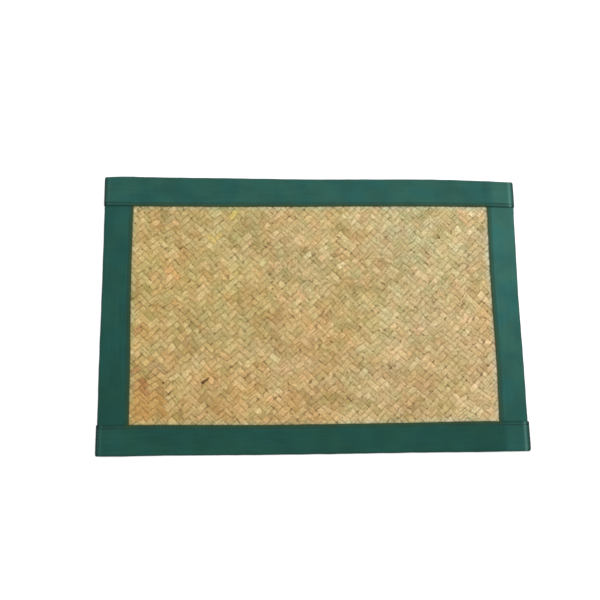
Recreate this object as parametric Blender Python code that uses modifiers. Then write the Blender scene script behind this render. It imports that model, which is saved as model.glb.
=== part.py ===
"""Place mat of woven pandanus leaf, bound on its four sides with folded strips of green cloth.

Frame: the origin is the middle of the mat on the surface that it lies on, +X runs along the long
side to the right, +Y runs from the near edge to the far edge, and +Z is up. Sizes are in metres.

Each binding strip is folded over the edge of the panel, so it has a leg under the mat, a fold
outside the panel's cut edge and a leg on top. The side strips were sewn on first. The far and near
strips run the whole length of the mat and cover the side strips' ends.
"""
import math
from collections import namedtuple

import bmesh
import bpy
import numpy as np
from mathutils import Vector

COLLECTION_NAME = "pandanus_mat"

# The mat and the width of its binding, as cut and sewn
MAT_LENGTH = 0.4500
MAT_WIDTH = 0.3000
BINDING_WIDTH = 0.0310

# Sheets, and the space that is left between two of them
LEG_THICKNESS = 0.0010       # the cloth with its turned-in hem
PANEL_THICKNESS = 0.0014     # two layers of split leaf
SHEET_GAP = 0.0003
SHEET_STEP = LEG_THICKNESS + SHEET_GAP

# Heights of the middle of each leg, away from the corners and where two strips cross
UNDER_LEG = LEG_THICKNESS / 2
PANEL_BOTTOM = SHEET_STEP
TOP_LEG = PANEL_BOTTOM + PANEL_THICKNESS + SHEET_GAP + LEG_THICKNESS / 2
TUCKED_UNDER_LEG = UNDER_LEG + SHEET_STEP
TUCKED_TOP_LEG = TUCKED_UNDER_LEG + SHEET_STEP
RAISED_TOP_LEG = TUCKED_TOP_LEG + SHEET_STEP

# The far and near strips stand a little past the side strips, which end inside their folds
END_STRIP_REACH = MAT_LENGTH / 2 + 0.0010
SIDE_STRIP_REACH = MAT_WIDTH / 2 - 0.0032

# Slopes where a side strip goes in under an end strip, and where an end strip climbs on to it
SLOPE_LENGTH = 0.0060
TUCK_END = MAT_WIDTH / 2 - BINDING_WIDTH - 0.0042
RISE_END = MAT_LENGTH / 2 - BINDING_WIDTH - 0.0015

# The panel's cut edge inside the folds, and its corners, cut away where the strips cross
PANEL_INSET = 0.0026
NOTCH_START = TUCK_END - SLOPE_LENGTH - SHEET_GAP
NOTCH_CLEARANCE = 0.0005

# Cells of the sheets
LEG_CELLS = 2
FOLD_CELLS = 6
SLOPE_CELLS = 4
CORNER_CELLS = 3
HALF_OPEN_CELLS = 7
HEM_ROUNDING = 0.0003
HEM_SEGMENTS = 2
HEM_ANGLE = math.radians(60)

# How uneven a strip is: along is a share of half the strip's side of the mat, stray is how far the
# outer fold lies outside the true rectangle, and extra is how much wider than BINDING_WIDTH it is
StripRow = namedtuple("StripRow", "along stray extra")
FAR_ROWS = (
    StripRow(along=-1.00, stray=-0.0010, extra=0.0016),
    StripRow(along=-0.93, stray=-0.0001, extra=0.0025),
    StripRow(along=-0.74, stray=-0.0003, extra=0.0019),
    StripRow(along=-0.35, stray=-0.0003, extra=0.0014),
    StripRow(along=-0.06, stray=-0.0006, extra=0.0002),
    StripRow(along=0.34, stray=0.0007, extra=0.0001),
    StripRow(along=0.74, stray=0.0010, extra=-0.0001),
    StripRow(along=0.84, stray=0.0002, extra=-0.0009),
    StripRow(along=1.00, stray=-0.0011, extra=-0.0011),
)
NEAR_ROWS = (
    StripRow(along=-1.00, stray=0.0007, extra=0.0005),
    StripRow(along=-0.89, stray=0.0010, extra=0.0008),
    StripRow(along=-0.71, stray=0.0004, extra=0.0002),
    StripRow(along=-0.27, stray=0.0008, extra=-0.0004),
    StripRow(along=0.11, stray=0.0005, extra=-0.0002),
    StripRow(along=0.48, stray=0.0001, extra=0.0002),
    StripRow(along=0.77, stray=0.0001, extra=0.0012),
    StripRow(along=1.00, stray=-0.0003, extra=0.0001),
)
LEFT_ROWS = (
    StripRow(along=-0.98, stray=0.0004, extra=0.0006),
    StripRow(along=-0.76, stray=0.0002, extra=0.0004),
    StripRow(along=-0.43, stray=0.0006, extra=0.0006),
    StripRow(along=0.00, stray=0.0004, extra=-0.0008),
    StripRow(along=0.43, stray=0.0004, extra=-0.0012),
    StripRow(along=0.80, stray=0.0006, extra=-0.0006),
    StripRow(along=0.98, stray=0.0002, extra=-0.0008),
)
RIGHT_ROWS = (
    StripRow(along=-0.98, stray=0.0001, extra=-0.0003),
    StripRow(along=-0.78, stray=0.0001, extra=-0.0003),
    StripRow(along=-0.44, stray=0.0001, extra=-0.0013),
    StripRow(along=0.09, stray=-0.0007, extra=-0.0013),
    StripRow(along=0.45, stray=-0.0001, extra=-0.0005),
    StripRow(along=0.80, stray=0.0006, extra=-0.0008),
    StripRow(along=0.98, stray=0.0004, extra=-0.0010),
)

# side is the sign of the strip's side of the mat, on Y for the end strips and on X for the side strips
Strip = namedtuple("Strip", "name side rows")
FAR = Strip("binding_far", 1, FAR_ROWS)
NEAR = Strip("binding_near", -1, NEAR_ROWS)
LEFT = Strip("binding_left", -1, LEFT_ROWS)
RIGHT = Strip("binding_right", 1, RIGHT_ROWS)
END_STRIPS = (FAR, NEAR)
SIDE_STRIPS = (LEFT, RIGHT)

LEAF_COLOR = (0.560, 0.390, 0.170, 1.0)
LEAF_ROUGHNESS = 0.62
CLOTH_COLOR = (0.022, 0.098, 0.080, 1.0)
CLOTH_ROUGHNESS = 0.78


def clear_scene():
    for obj in list(bpy.data.objects):
        bpy.data.objects.remove(obj, do_unlink=True)


def make_collection():
    collection = bpy.data.collections.new(COLLECTION_NAME)
    bpy.context.scene.collection.children.link(collection)
    return collection


def make_material(name, color, roughness):
    material = bpy.data.materials.new(name)
    material.use_nodes = True
    shader = material.node_tree.nodes["Principled BSDF"]
    shader.inputs["Base Color"].default_value = color
    shader.inputs["Roughness"].default_value = roughness
    shader.inputs["Metallic"].default_value = 0.0
    return material


def mix(low, high, share):
    return low + (high - low) * share


def ease(share):
    """A smooth climb from 0 to 1."""
    share = min(max(share, 0.0), 1.0)
    return share * share * (3 - 2 * share)


def outer_fold(strip, along):
    """Where the strip's outer fold lies across the mat, at a place along the strip."""
    half_along, half_across = half_sizes(strip)
    places = [row.along * half_along for row in strip.rows]
    stray = np.interp(along, places, [row.stray for row in strip.rows])
    return strip.side * (half_across + float(stray))


def inner_hem(strip, along):
    """Where the strip's inner hem lies across the mat, at a place along the strip."""
    half_along, _ = half_sizes(strip)
    places = [row.along * half_along for row in strip.rows]
    extra = np.interp(along, places, [row.extra for row in strip.rows])
    return outer_fold(strip, along) - strip.side * (BINDING_WIDTH + float(extra))


def half_sizes(strip):
    """Half the mat's size along the strip, and across it."""
    if strip in END_STRIPS:
        return MAT_LENGTH / 2, MAT_WIDTH / 2
    return MAT_WIDTH / 2, MAT_LENGTH / 2


def u_section(strip, along, under_leg, top_leg):
    """The middle line of a folded strip, as (across, height), from the hem underneath to the hem on top."""
    hem = inner_hem(strip, along)
    radius = (top_leg - under_leg) / 2
    centre = outer_fold(strip, along) - strip.side * (radius + LEG_THICKNESS / 2)
    line = [(mix(hem, centre, cell / LEG_CELLS), under_leg) for cell in range(LEG_CELLS)]
    for cell in range(FOLD_CELLS + 1):
        angle = math.pi * (cell / FOLD_CELLS - 0.5)
        across = centre + strip.side * radius * math.cos(angle)
        line.append((across, under_leg + radius + radius * math.sin(angle)))
    line += [(mix(centre, hem, cell / LEG_CELLS), top_leg) for cell in range(1, LEG_CELLS + 1)]
    return line


def end_strip_section(strip, along):
    """Section of the far or near strip, whose top leg climbs on to the side strips."""
    rise = ease((abs(along) - RISE_END + SLOPE_LENGTH) / SLOPE_LENGTH)
    line = u_section(strip, along, UNDER_LEG, mix(TOP_LEG, RAISED_TOP_LEG, rise))
    return [Vector((along, across, height)) for across, height in line]


def side_strip_section(strip, along):
    """Section of the left or right strip, whose two legs close up inside the end strips."""
    tuck = ease((abs(along) - TUCK_END + SLOPE_LENGTH) / SLOPE_LENGTH)
    under_leg = mix(UNDER_LEG, TUCKED_UNDER_LEG, tuck)
    line = u_section(strip, along, under_leg, mix(TOP_LEG, TUCKED_TOP_LEG, tuck))
    return [Vector((across, along, height)) for across, height in line]


def strip_stations(reach, slope_end):
    """Places along a strip from end to end, close together on the two slopes."""
    slope_start = slope_end - SLOPE_LENGTH
    half = list(np.linspace(0, slope_start, HALF_OPEN_CELLS, endpoint=False))
    half += list(np.linspace(slope_start, slope_end, SLOPE_CELLS, endpoint=False))
    half += list(np.linspace(slope_end, reach, CORNER_CELLS + 1))
    return [-place for place in reversed(half[1:])] + half


def bend_grid(name, sections):
    """A grid whose rows are laid on the sections, one row for each station."""
    across_cells = len(sections[0]) - 1
    along_cells = len(sections) - 1
    bm = bmesh.new()
    bmesh.ops.create_grid(bm, x_segments=across_cells, y_segments=along_cells, size=0.5)
    for vert in bm.verts:
        point = round((vert.co.x + 0.5) * across_cells)
        station = round((vert.co.y + 0.5) * along_cells)
        vert.co = sections[station][point]
    mesh = bpy.data.meshes.new(name)
    bm.to_mesh(mesh)
    bm.free()
    return mesh


def add_binding_strip(name, collection, sections):
    """A folded strip of cloth: the bent middle sheet, its thickness and its rounded hems."""
    strip = bpy.data.objects.new(name, bend_grid(name, sections))
    collection.objects.link(strip)
    strip.data.materials.append(make_material(name + "_cloth", CLOTH_COLOR, CLOTH_ROUGHNESS))
    thickness = strip.modifiers.new("leg_thickness", "SOLIDIFY")
    thickness.thickness = LEG_THICKNESS
    thickness.offset = 0.0
    thickness.use_even_offset = True
    rounding = strip.modifiers.new("hem_rounding", "BEVEL")
    rounding.width = HEM_ROUNDING
    rounding.segments = HEM_SEGMENTS
    rounding.limit_method = "ANGLE"
    rounding.angle_limit = HEM_ANGLE
    strip.data.shade_smooth()


def cut_edge(strip, start, end):
    """Points on the panel's cut edge inside one strip's fold, as (along, across), from start to end."""
    half_along, _ = half_sizes(strip)
    places = [row.along * half_along for row in strip.rows]
    places = [place for place in places if min(start, end) < place < max(start, end)]
    places = sorted([start, end] + places, reverse=start > end)
    return [(place, outer_fold(strip, place) - strip.side * PANEL_INSET) for place in places]


def notch_across(strip, side_of_y):
    """X of a cut corner's inner edge, clear of the side strip's hem all along its tucked end."""
    places = (side_of_y * NOTCH_START, side_of_y * SIDE_STRIP_REACH)
    hem = strip.side * min(abs(inner_hem(strip, place)) for place in places)
    return hem - strip.side * NOTCH_CLEARANCE


def panel_outline():
    """The panel's outline as (x, y), once round anticlockwise from its far right corner."""
    far_right, far_left = notch_across(RIGHT, 1), notch_across(LEFT, 1)
    near_left, near_right = notch_across(LEFT, -1), notch_across(RIGHT, -1)
    left_edge = [(x, y) for y, x in cut_edge(LEFT, NOTCH_START, -NOTCH_START)]
    right_edge = [(x, y) for y, x in cut_edge(RIGHT, -NOTCH_START, NOTCH_START)]
    outline = [(far_right, NOTCH_START)] + cut_edge(FAR, far_right, far_left)
    outline += [(far_left, NOTCH_START)] + left_edge
    outline += [(near_left, -NOTCH_START)] + cut_edge(NEAR, near_left, near_right)
    outline += [(near_right, -NOTCH_START)] + right_edge
    return outline


def add_woven_panel(collection):
    """The woven sheet: a flat outline with its thickness."""
    outline = panel_outline()
    curve = bpy.data.curves.new("woven_panel", "CURVE")
    curve.dimensions = "2D"
    curve.fill_mode = "BOTH"
    curve.extrude = PANEL_THICKNESS / 2
    spline = curve.splines.new("POLY")
    spline.points.add(len(outline) - 1)
    for point, (x, y) in zip(spline.points, outline):
        point.co = (x, y, 0.0, 1.0)
    spline.use_cyclic_u = True
    panel = bpy.data.objects.new("woven_panel", curve)
    panel.location.z = PANEL_BOTTOM + PANEL_THICKNESS / 2
    collection.objects.link(panel)
    curve.materials.append(make_material("woven_panel_leaf", LEAF_COLOR, LEAF_ROUGHNESS))


def build():
    clear_scene()
    collection = make_collection()
    add_woven_panel(collection)
    for strip in SIDE_STRIPS:
        stations = strip_stations(SIDE_STRIP_REACH, TUCK_END)
        add_binding_strip(strip.name, collection, [side_strip_section(strip, place) for place in stations])
    for strip in END_STRIPS:
        stations = strip_stations(END_STRIP_REACH, RISE_END)
        add_binding_strip(strip.name, collection, [end_strip_section(strip, place) for place in stations])


build()
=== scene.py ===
"""Looks of a place mat of woven pandanus leaf, bound with folded strips of green cloth.

The frame is the solids' own: metres, +X to the right along the long side, +Y from the near edge to
the far edge, +Z up, with the origin in the middle of the mat on the surface that it lies on.

The panel is woven from real strands, two over and two under, at 45 degrees to the edges. Each
binding is one cloth shell folded over the panel's cut edge, and its sewing is real thread.
"""
import math
from collections import namedtuple

import bpy
import numpy as np
from mathutils import Matrix, Vector


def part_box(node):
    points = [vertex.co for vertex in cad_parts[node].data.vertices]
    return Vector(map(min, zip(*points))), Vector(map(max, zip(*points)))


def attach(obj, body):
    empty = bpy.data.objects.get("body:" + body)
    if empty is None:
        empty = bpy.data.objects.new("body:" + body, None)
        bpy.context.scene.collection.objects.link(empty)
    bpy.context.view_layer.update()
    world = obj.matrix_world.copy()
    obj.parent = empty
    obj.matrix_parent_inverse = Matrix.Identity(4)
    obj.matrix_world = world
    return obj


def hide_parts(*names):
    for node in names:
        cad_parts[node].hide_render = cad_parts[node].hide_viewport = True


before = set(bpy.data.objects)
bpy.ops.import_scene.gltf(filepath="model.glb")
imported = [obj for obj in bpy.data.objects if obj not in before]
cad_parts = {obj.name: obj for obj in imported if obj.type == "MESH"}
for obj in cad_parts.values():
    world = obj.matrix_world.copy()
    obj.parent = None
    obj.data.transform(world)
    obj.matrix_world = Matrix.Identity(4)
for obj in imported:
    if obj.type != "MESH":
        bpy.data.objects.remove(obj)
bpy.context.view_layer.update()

MM = 0.001
ROOT_HALF = math.sqrt(0.5)

# Side is the sign of the strip's side of the mat, axis is 0 for a strip along X and 1 along Y, and
# end_ridges is how far its turned-in ends lift the cloth at the left and at the right
Strip = namedtuple("Strip", "name axis side end_ridges")
FAR = Strip("far", 0, 1, (0.12 * MM, 0.36 * MM))
NEAR = Strip("near", 0, -1, (0.16 * MM, 0.34 * MM))
LEFT = Strip("left", 1, -1, (0.0, 0.0))
RIGHT = Strip("right", 1, 1, (0.0, 0.0))
STRIPS = (FAR, NEAR, LEFT, RIGHT)

# Cloth of the bindings: half its thickness and the heights of the middle of each leg
HALF_CLOTH = 0.45 * MM
UNDER_LEG = HALF_CLOTH
TOP_LEG = 3.30 * MM
TUCKED_UNDER_LEG = 1.75 * MM
TUCKED_TOP_LEG = 3.00 * MM
RAISED_TOP_LEG = 4.20 * MM
TUCK_START = 108.8 * MM
TUCK_LENGTH = 6.0 * MM
RISE_START = 191.6 * MM
RISE_LENGTH = 3.2 * MM
SIDE_STRIP_REACH = 146.6 * MM
UNDER_HEM_SET_BACK = 1.0 * MM

# Sewing: the line's distance from the hem, and its thread
STITCH_OFFSET = 3.6 * MM
STITCH_PITCH = 3.6 * MM
STITCH_LENGTH = 2.9 * MM
THREAD_HALF_WIDTH = 0.24 * MM
THREAD_HALF_HEIGHT = 0.17 * MM
END_STITCH_INSET = 2.3 * MM

# Weave: the pitch of each family, the leaf's thickness and how far a strand rises and falls
RISING_PITCH = 6.19 * MM
FALLING_PITCH = 5.72 * MM
LEAF_THICKNESS = 0.40 * MM
LEAF_ARCH = 0.09 * MM
WEAVE_MIDDLE = 2.00 * MM
WEAVE_SWING = 0.27 * MM
CROSSING_REACH = 1.6 * MM
WEAVE_DIAGONAL = 300 * MM
WEAVE_BOW = 0.11
PANEL_INSET = 2.6 * MM
CORNER_CUT_START = 111.5 * MM
CORNER_CUT_OVERLAP = 0.25 * MM

# A smooth random swing over the mat: its wavelength, the seed of its shape, and its size
Swing = namedtuple("Swing", "wavelength seed size")


# Shared helpers

# The wave numbers in a drift, as shares of the one that its wavelength gives
WAVE_SPREAD = (0.6, 1.5)


def ease(share):
    """A smooth climb from 0 to 1."""
    share = np.clip(share, 0.0, 1.0)
    return share * share * (3 - 2 * share)


def drift(places, wavelength, seed, waves=10):
    """A smooth random field with a spread of about 1, read at places of any number of axes."""
    random = np.random.default_rng(seed)
    places = np.asarray(places, float)
    directions = random.normal(size=(waves, places.shape[-1]))
    directions /= np.linalg.norm(directions, axis=1, keepdims=True)
    numbers = 2 * math.pi / wavelength * random.uniform(*WAVE_SPREAD, waves)
    phases = random.uniform(0, 2 * math.pi, waves)
    swings = np.sin(places @ (directions * numbers[:, None]).T + phases)
    return swings.sum(-1) * math.sqrt(2 / waves)


def swung(places, swing, seed_step=0):
    """The drift of one named swing, at its own size."""
    return swing.size * drift(places, swing.wavelength, swing.seed + seed_step)


def smooth_line(places, values, at):
    """A smooth curve through the points, read at the given places."""
    slopes = np.gradient(values, places)
    at = np.clip(at, places[0], places[-1])
    cell = np.clip(np.searchsorted(places, at) - 1, 0, len(places) - 2)
    width = places[cell + 1] - places[cell]
    share = (at - places[cell]) / width
    rest = 1 - share
    ends = values[cell] * rest * rest * (1 + 2 * share) + values[cell + 1] * share * share * (3 - 2 * share)
    return ends + width * (slopes[cell] * share * rest * rest - slopes[cell + 1] * share * share * rest)


def linear_from_display(color):
    color = np.asarray(color, float) / 255
    return np.where(color <= 0.04045, color / 12.92, ((color + 0.055) / 1.055) ** 2.4)


class MeshParts:
    """Collects rings of points and their faces, with values for each point, and makes one mesh."""

    def __init__(self):
        self.points, self.faces, self.values, self.count = [], [], {}, 0

    def add(self, points, faces, **values):
        points = np.asarray(points, float).reshape(-1, 3)
        self.points.append(points)
        self.faces.extend([[self.count + corner for corner in face] for face in faces])
        for key, value in values.items():
            self.values.setdefault(key, []).append(np.asarray(value, float).reshape(len(points), -1))
        self.count += len(points)

    def make(self, name, material):
        mesh = bpy.data.meshes.new(name)
        mesh.from_pydata(np.vstack(self.points).tolist(), [], self.faces)
        kinds = {1: ("FLOAT", "value"), 3: ("FLOAT_VECTOR", "vector"), 4: ("FLOAT_COLOR", "color")}
        for key, parts in self.values.items():
            value = np.vstack(parts).astype(np.float32)
            kind, field = kinds[value.shape[1]]
            mesh.attributes.new(key, kind, "POINT").data.foreach_set(field, value.ravel())
        mesh.validate()
        mesh.shade_smooth()
        mesh.materials.append(material)
        piece = bpy.data.objects.new(name, mesh)
        bpy.context.scene.collection.objects.link(piece)
        return piece


def ring_faces(rings, size):
    """Quads between rings of points that follow each other, each ring closed."""
    faces = []
    for ring in range(rings - 1):
        base = ring * size
        for k in range(size):
            after = (k + 1) % size
            faces.append([base + k, base + size + k, base + size + after, base + after])
    return faces


# Edges of the strips, read from the solids

# The solid's points lie in stations along the strip: their least distance, and the least points in one
STATION_GAP = 0.2 * MM
FULL_STATION = 100


def strip_edges(strip):
    """Places along a strip, and how far its outer fold and inner hem lie from the mat's middle there."""
    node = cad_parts["binding_" + strip.name]
    points = np.array([vert.co for vert in node.data.vertices])
    points = points[np.argsort(points[:, strip.axis])]
    along, across = points[:, strip.axis], np.abs(points[:, 1 - strip.axis])
    starts = np.flatnonzero(np.diff(along) > STATION_GAP) + 1
    stations = np.split(np.arange(len(along)), starts)
    rows = [(along[k].mean(), across[k].max(), across[k].min()) for k in stations if len(k) >= FULL_STATION]
    return np.array(rows).T


EDGES = {strip.name: strip_edges(strip) for strip in STRIPS}
STRIP_REACH = {
    strip.name: SIDE_STRIP_REACH if strip.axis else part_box("binding_" + strip.name)[1][0]
    for strip in STRIPS
}
CORNER_ROUNDING = 1.4 * MM
FOLD_WANDER = Swing(26 * MM, 11, 0.06 * MM)
HEM_WANDER = Swing(26 * MM, 15, 0.07 * MM)
# How far each soft hem reaches past the solid's towards the middle
HEM_ADVANCE = {"far": 0.55 * MM, "near": 0.0, "left": 0.50 * MM, "right": 0.0}


def fold_and_hem(strip, along):
    """Distances of the outer fold and the inner hem from the mat's middle, at places along the strip."""
    places, folds, hems = EDGES[strip.name]
    fold = smooth_line(places, folds, along)
    hem = smooth_line(places, hems, along)
    line = np.c_[along, along * 0 + strip.side]
    fold = fold + swung(line, FOLD_WANDER, strip.axis)
    hem = hem + swung(line, HEM_WANDER, strip.axis) - HEM_ADVANCE[strip.name]
    past = np.clip((np.abs(along) - STRIP_REACH[strip.name] + CORNER_ROUNDING) / CORNER_ROUNDING, 0, 1)
    rounding = CORNER_ROUNDING * (1 - np.sqrt(1 - past * past)) * (strip.axis == 0)
    return fold - rounding, hem


def leg_heights(strip, along):
    """Heights of the middle of the leg underneath and of the leg on top, at places along the strip."""
    if strip.axis == 0:
        rise = ease((np.abs(along) - RISE_START) / RISE_LENGTH)
        return UNDER_LEG + 0 * along, TOP_LEG + (RAISED_TOP_LEG - TOP_LEG) * rise
    tuck = ease((np.abs(along) - TUCK_START) / TUCK_LENGTH)
    return (UNDER_LEG + (TUCKED_UNDER_LEG - UNDER_LEG) * tuck, TOP_LEG + (TUCKED_TOP_LEG - TOP_LEG) * tuck)


# How the top leg lies: its crown, the valley along the stitches and the puckers beside it, the steps
# over the turned-in hem and ends, the droop at its ends, and soft wrinkles
CROWN = 0.22 * MM
CROWN_FULLNESS = 0.8
STITCH_VALLEY = 0.30 * MM
VALLEY_REACH = 0.50 * MM
VALLEY_MEAN = 0.78
VALLEY_BEAT = 0.22
PUCKER = 0.045 * MM
PUCKER_REACH = 2.2 * MM
HEM_TURN_IN = 8.0 * MM
HEM_STEP = 0.07 * MM
HEM_STEP_REACH = 0.9 * MM
END_TURN_IN = 7.5 * MM
END_STEP_REACH = 1.4 * MM
END_DROOP = 0.45 * MM
END_DROOP_REACH = 2.4 * MM
LONG_WRINKLES = Swing(34 * MM, 21, 0.11 * MM)
SHORT_WRINKLES = Swing(12 * MM, 31, 0.045 * MM)
WRINKLE_SQUEEZE = 1.3
WRINKLE_SHIFT = 10 * MM
# Where the hem and the fold let go of the cloth, and how far it takes to lie loose
HEM_HOLD, HEM_EASE = 1.0 * MM, 5 * MM
FOLD_HOLD, FOLD_EASE = 0.5 * MM, 3 * MM


def top_relief(strip, along, offset, width):
    """Height of the top leg over its plain level, at places along and distances from the hem."""
    inner = np.clip((offset - STITCH_OFFSET) / (width - STITCH_OFFSET), 0, 1)
    crown = CROWN * np.sin(math.pi * inner) ** CROWN_FULLNESS
    beat = np.cos(2 * math.pi * along / STITCH_PITCH)
    from_stitch = offset - STITCH_OFFSET
    valley = -STITCH_VALLEY * np.exp(-(from_stitch / VALLEY_REACH) ** 2) * (VALLEY_MEAN - VALLEY_BEAT * beat)
    pucker = PUCKER * beat * np.exp(-np.abs(from_stitch) / PUCKER_REACH)
    turned = HEM_STEP * (1 - ease((offset - HEM_TURN_IN) / HEM_STEP_REACH))
    field = np.stack([along, offset * WRINKLE_SQUEEZE, 0 * along + WRINKLE_SHIFT * strip.side], -1)
    soft = swung(field, LONG_WRINKLES, strip.axis) + swung(field, SHORT_WRINKLES, strip.axis)
    loose = ease((offset - HEM_HOLD) / HEM_EASE) * ease((width - offset - FOLD_HOLD) / FOLD_EASE)
    tilt = np.where(along < 0, strip.end_ridges[0], strip.end_ridges[1])
    from_end = STRIP_REACH[strip.name] - np.abs(along)
    ridge = tilt * (1 - ease((from_end - END_TURN_IN) / END_STEP_REACH))
    droop = -END_DROOP * (strip.axis == 0) * (1 - ease(from_end / END_DROOP_REACH)) ** 2
    flat = 1.0 if strip.axis == 0 else 1 - ease((np.abs(along) - TUCK_START) / TUCK_LENGTH)
    return (crown + valley + pucker + turned + soft * loose) * flat + ridge + droop


def top_surface(strip, along, offset):
    """Where the cloth's upper face lies, at places along the strip and distances from its hem."""
    fold, hem = fold_and_hem(strip, along)
    _, top = leg_heights(strip, along)
    height = top + top_relief(strip, along, offset, fold - hem) + HALF_CLOTH
    return hem + offset, height


# Bindings

# Distances from the hem of the cloth's points, close together at the stitches and at the turned-in edge
HEM_OFFSETS = np.array((0.45, 0.8, 1.2, 1.7, 2.2, 2.6, 2.95, 3.25, 3.45, 3.6, 3.75, 3.95, 4.25, 4.7, 5.4,
                        6.3, 7.2, 7.8, 8.4, 9.2)) * MM
UNDER_OFFSETS = np.array((0.45, 1.2, 2.2, 3.0, 3.35, 3.6, 3.85, 4.2, 5.2, 7.0)) * MM
OPEN_CELLS = 9
UNDER_OPEN_CELLS = 4
FOLD_CELLS = 9
STATION_STEP = STITCH_PITCH / 3
UNDER_RECESS = 0.14 * MM
CAP_ANGLES = np.radians((45, 90, 135))
# Stations at a strip's ends, as shares of half its cloth and of its rounded corner, and where they stop
END_STEPS = np.array((0.0, 0.15, 0.40, 0.70, 1.0))
ROUNDING_STEPS = np.array((0.40, 0.55, 0.8))
ROUNDING_SHARE = 1.1
THINNEST_SHARE = 0.05


def strip_stations(strip):
    """Places along a strip, and the share of the cloth's thickness there, which rounds its two ends."""
    reach = STRIP_REACH[strip.name]
    count = round((reach - 2 * CORNER_ROUNDING) / STATION_STEP)
    middle = np.linspace(-1, 1, 2 * count + 1) * (reach - ROUNDING_SHARE * CORNER_ROUNDING)
    ends = reach - np.r_[END_STEPS * HALF_CLOTH, ROUNDING_STEPS * CORNER_ROUNDING]
    places = np.sort(np.r_[-ends, middle, ends])
    share = np.clip((reach - np.abs(places)) / HALF_CLOTH, 0, 1)
    return places, np.sqrt(np.clip(1 - (1 - share) ** 2, THINNEST_SHARE, 1))


def strip_path(strip, along):
    """Middle line of the folded cloth at each station, from the hem underneath to the hem on top.

    Gives its distance across, its height and its distance from the nearer hem, one row a station."""
    fold, hem = fold_and_hem(strip, along)
    under, top = leg_heights(strip, along)
    radius = (top - under) / 2
    centre = fold - radius - HALF_CLOTH
    width = fold - hem
    set_back = UNDER_HEM_SET_BACK if strip.axis == 1 else 0.0
    across, height, from_hem = [], [], []

    def add(place, level, offset):
        across.append(place)
        height.append(level)
        from_hem.append(offset + 0 * along)

    for offset in UNDER_OFFSETS:
        recess = UNDER_RECESS * np.exp(-((offset - STITCH_OFFSET) / VALLEY_REACH) ** 2)
        add(hem + set_back + offset, under + recess, offset)
    start = hem + set_back + UNDER_OFFSETS[-1]
    for cell in range(1, UNDER_OPEN_CELLS):
        share = cell / UNDER_OPEN_CELLS
        add(start + (centre - start) * share, under, UNDER_OFFSETS[-1] + (centre - start) * share)
    for cell in range(FOLD_CELLS + 1):
        angle = math.pi * (cell / FOLD_CELLS - 0.5)
        relief = top_relief(strip, along, centre - hem, width) * (cell / FOLD_CELLS) ** 2
        level = under + radius + radius * math.sin(angle) + relief
        add(centre + radius * math.cos(angle), level, width)
    start = hem + HEM_OFFSETS[-1]
    for cell in range(1, OPEN_CELLS):
        place = centre + (start - centre) * cell / OPEN_CELLS
        add(place, top + top_relief(strip, along, place - hem, width), place - hem)
    for offset in HEM_OFFSETS[::-1]:
        add(hem + offset, top + top_relief(strip, along, offset + 0 * along, width), offset)
    return np.stack(across, 1), np.stack(height, 1), np.stack(from_hem, 1)


def strip_ring(across, height, thickness_share):
    """Closes the middle line into a ring round the cloth, with round hems."""
    step_across, step_height = np.gradient(across, axis=1), np.gradient(height, axis=1)
    length = np.hypot(step_across, step_height)
    tangent = np.stack([step_across / length, step_height / length], -1)
    normal = np.stack([tangent[..., 1], -tangent[..., 0]], -1)
    middle = np.stack([across, height], -1)
    half = (HALF_CLOTH * thickness_share)[:, None, None]
    outer, inner = middle + normal * half, middle - normal * half

    def cap(at, sign):
        ways = [math.cos(a) * normal[:, at] + math.sin(a) * tangent[:, at] for a in CAP_ANGLES]
        return [middle[:, at] + sign * half * way for way in ways]

    top_cap, under_cap = cap(slice(-1, None), 1), cap(slice(0, 1), -1)
    return np.concatenate([outer, *top_cap, inner[:, ::-1], *under_cap], axis=1)


def end_cap(points, base, flipped):
    """Faces that close one end of the folded cloth between its outer and inner faces."""
    last = 2 * points + 2
    faces = [[base + k, base + k + 1, base + last - k - 1, base + last - k] for k in range(points - 1)]
    faces.append([base + k for k in range(points - 1, points + 4)])
    faces.append([base + last, base + last + 1, base + last + 2, base + last + 3, base])
    return [face[::-1] for face in faces] if flipped else faces


# Painted sheen, brighter towards the lamp at the far right: how much each strip shines in the middle,
# and how much more to the right, to the far side and at its ends
StripShine = namedtuple("StripShine", "middle to_right to_far left_end right_end")
STRIP_SHINE = {
    "far": StripShine(0.46, 0.11, 0.0, 0.08, 0.30),
    "near": StripShine(0.02, -0.02, 0.0, 0.06, 0.40),
    "left": StripShine(0.11, 0.0, 0.12, 0.0, 0.0),
    "right": StripShine(0.75, 0.0, 0.33, 0.0, 0.0),
}
SHINE_SPAN_X = 200 * MM
SHINE_SPAN_Y = 100 * MM
CORNER_START = 196 * MM
CORNER_BLEND = 8 * MM
HEM_CORNER_BLEND = 2 * MM


def strip_shine(strip, x, y):
    """How far the cloth's colour lies from its shaded one to its shining one: painted sheen."""
    shine = STRIP_SHINE[strip.name]
    ends = shine.right_end * ease((x - CORNER_START) / CORNER_BLEND)
    ends += shine.left_end * ease((-x - CORNER_START) / CORNER_BLEND)
    return shine.middle + shine.to_right * x / SHINE_SPAN_X + shine.to_far * y / SHINE_SPAN_Y + ends


# A painted highlight on the ridge where an end strip's turned-in end stops, and a line of painted shade at
# its folded end
END_RIDGE_PLACE = 4.8 * MM
END_RIDGE_REACH = 1.4 * MM
END_RIDGE_LEFT = 0.10
END_RIDGE_RIGHT = 0.50
END_LINE_PLACE = 1.5 * MM
END_LINE_REACH = 1.2 * MM
END_LINE_DEPTH = 0.60


def end_contrast(strip, x):
    """How much painted highlight or painted shade the cloth of an end strip has near its two ends."""
    if strip.axis == 1:
        return 0 * x
    from_end = STRIP_REACH[strip.name] - np.abs(x)
    ridge = np.exp(-((from_end - END_RIDGE_PLACE) / END_RIDGE_REACH) ** 2)
    line = np.exp(-((from_end - END_LINE_PLACE) / END_LINE_REACH) ** 2)
    return np.where(x > 0, END_RIDGE_RIGHT, END_RIDGE_LEFT) * ridge - END_LINE_DEPTH * line


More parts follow.
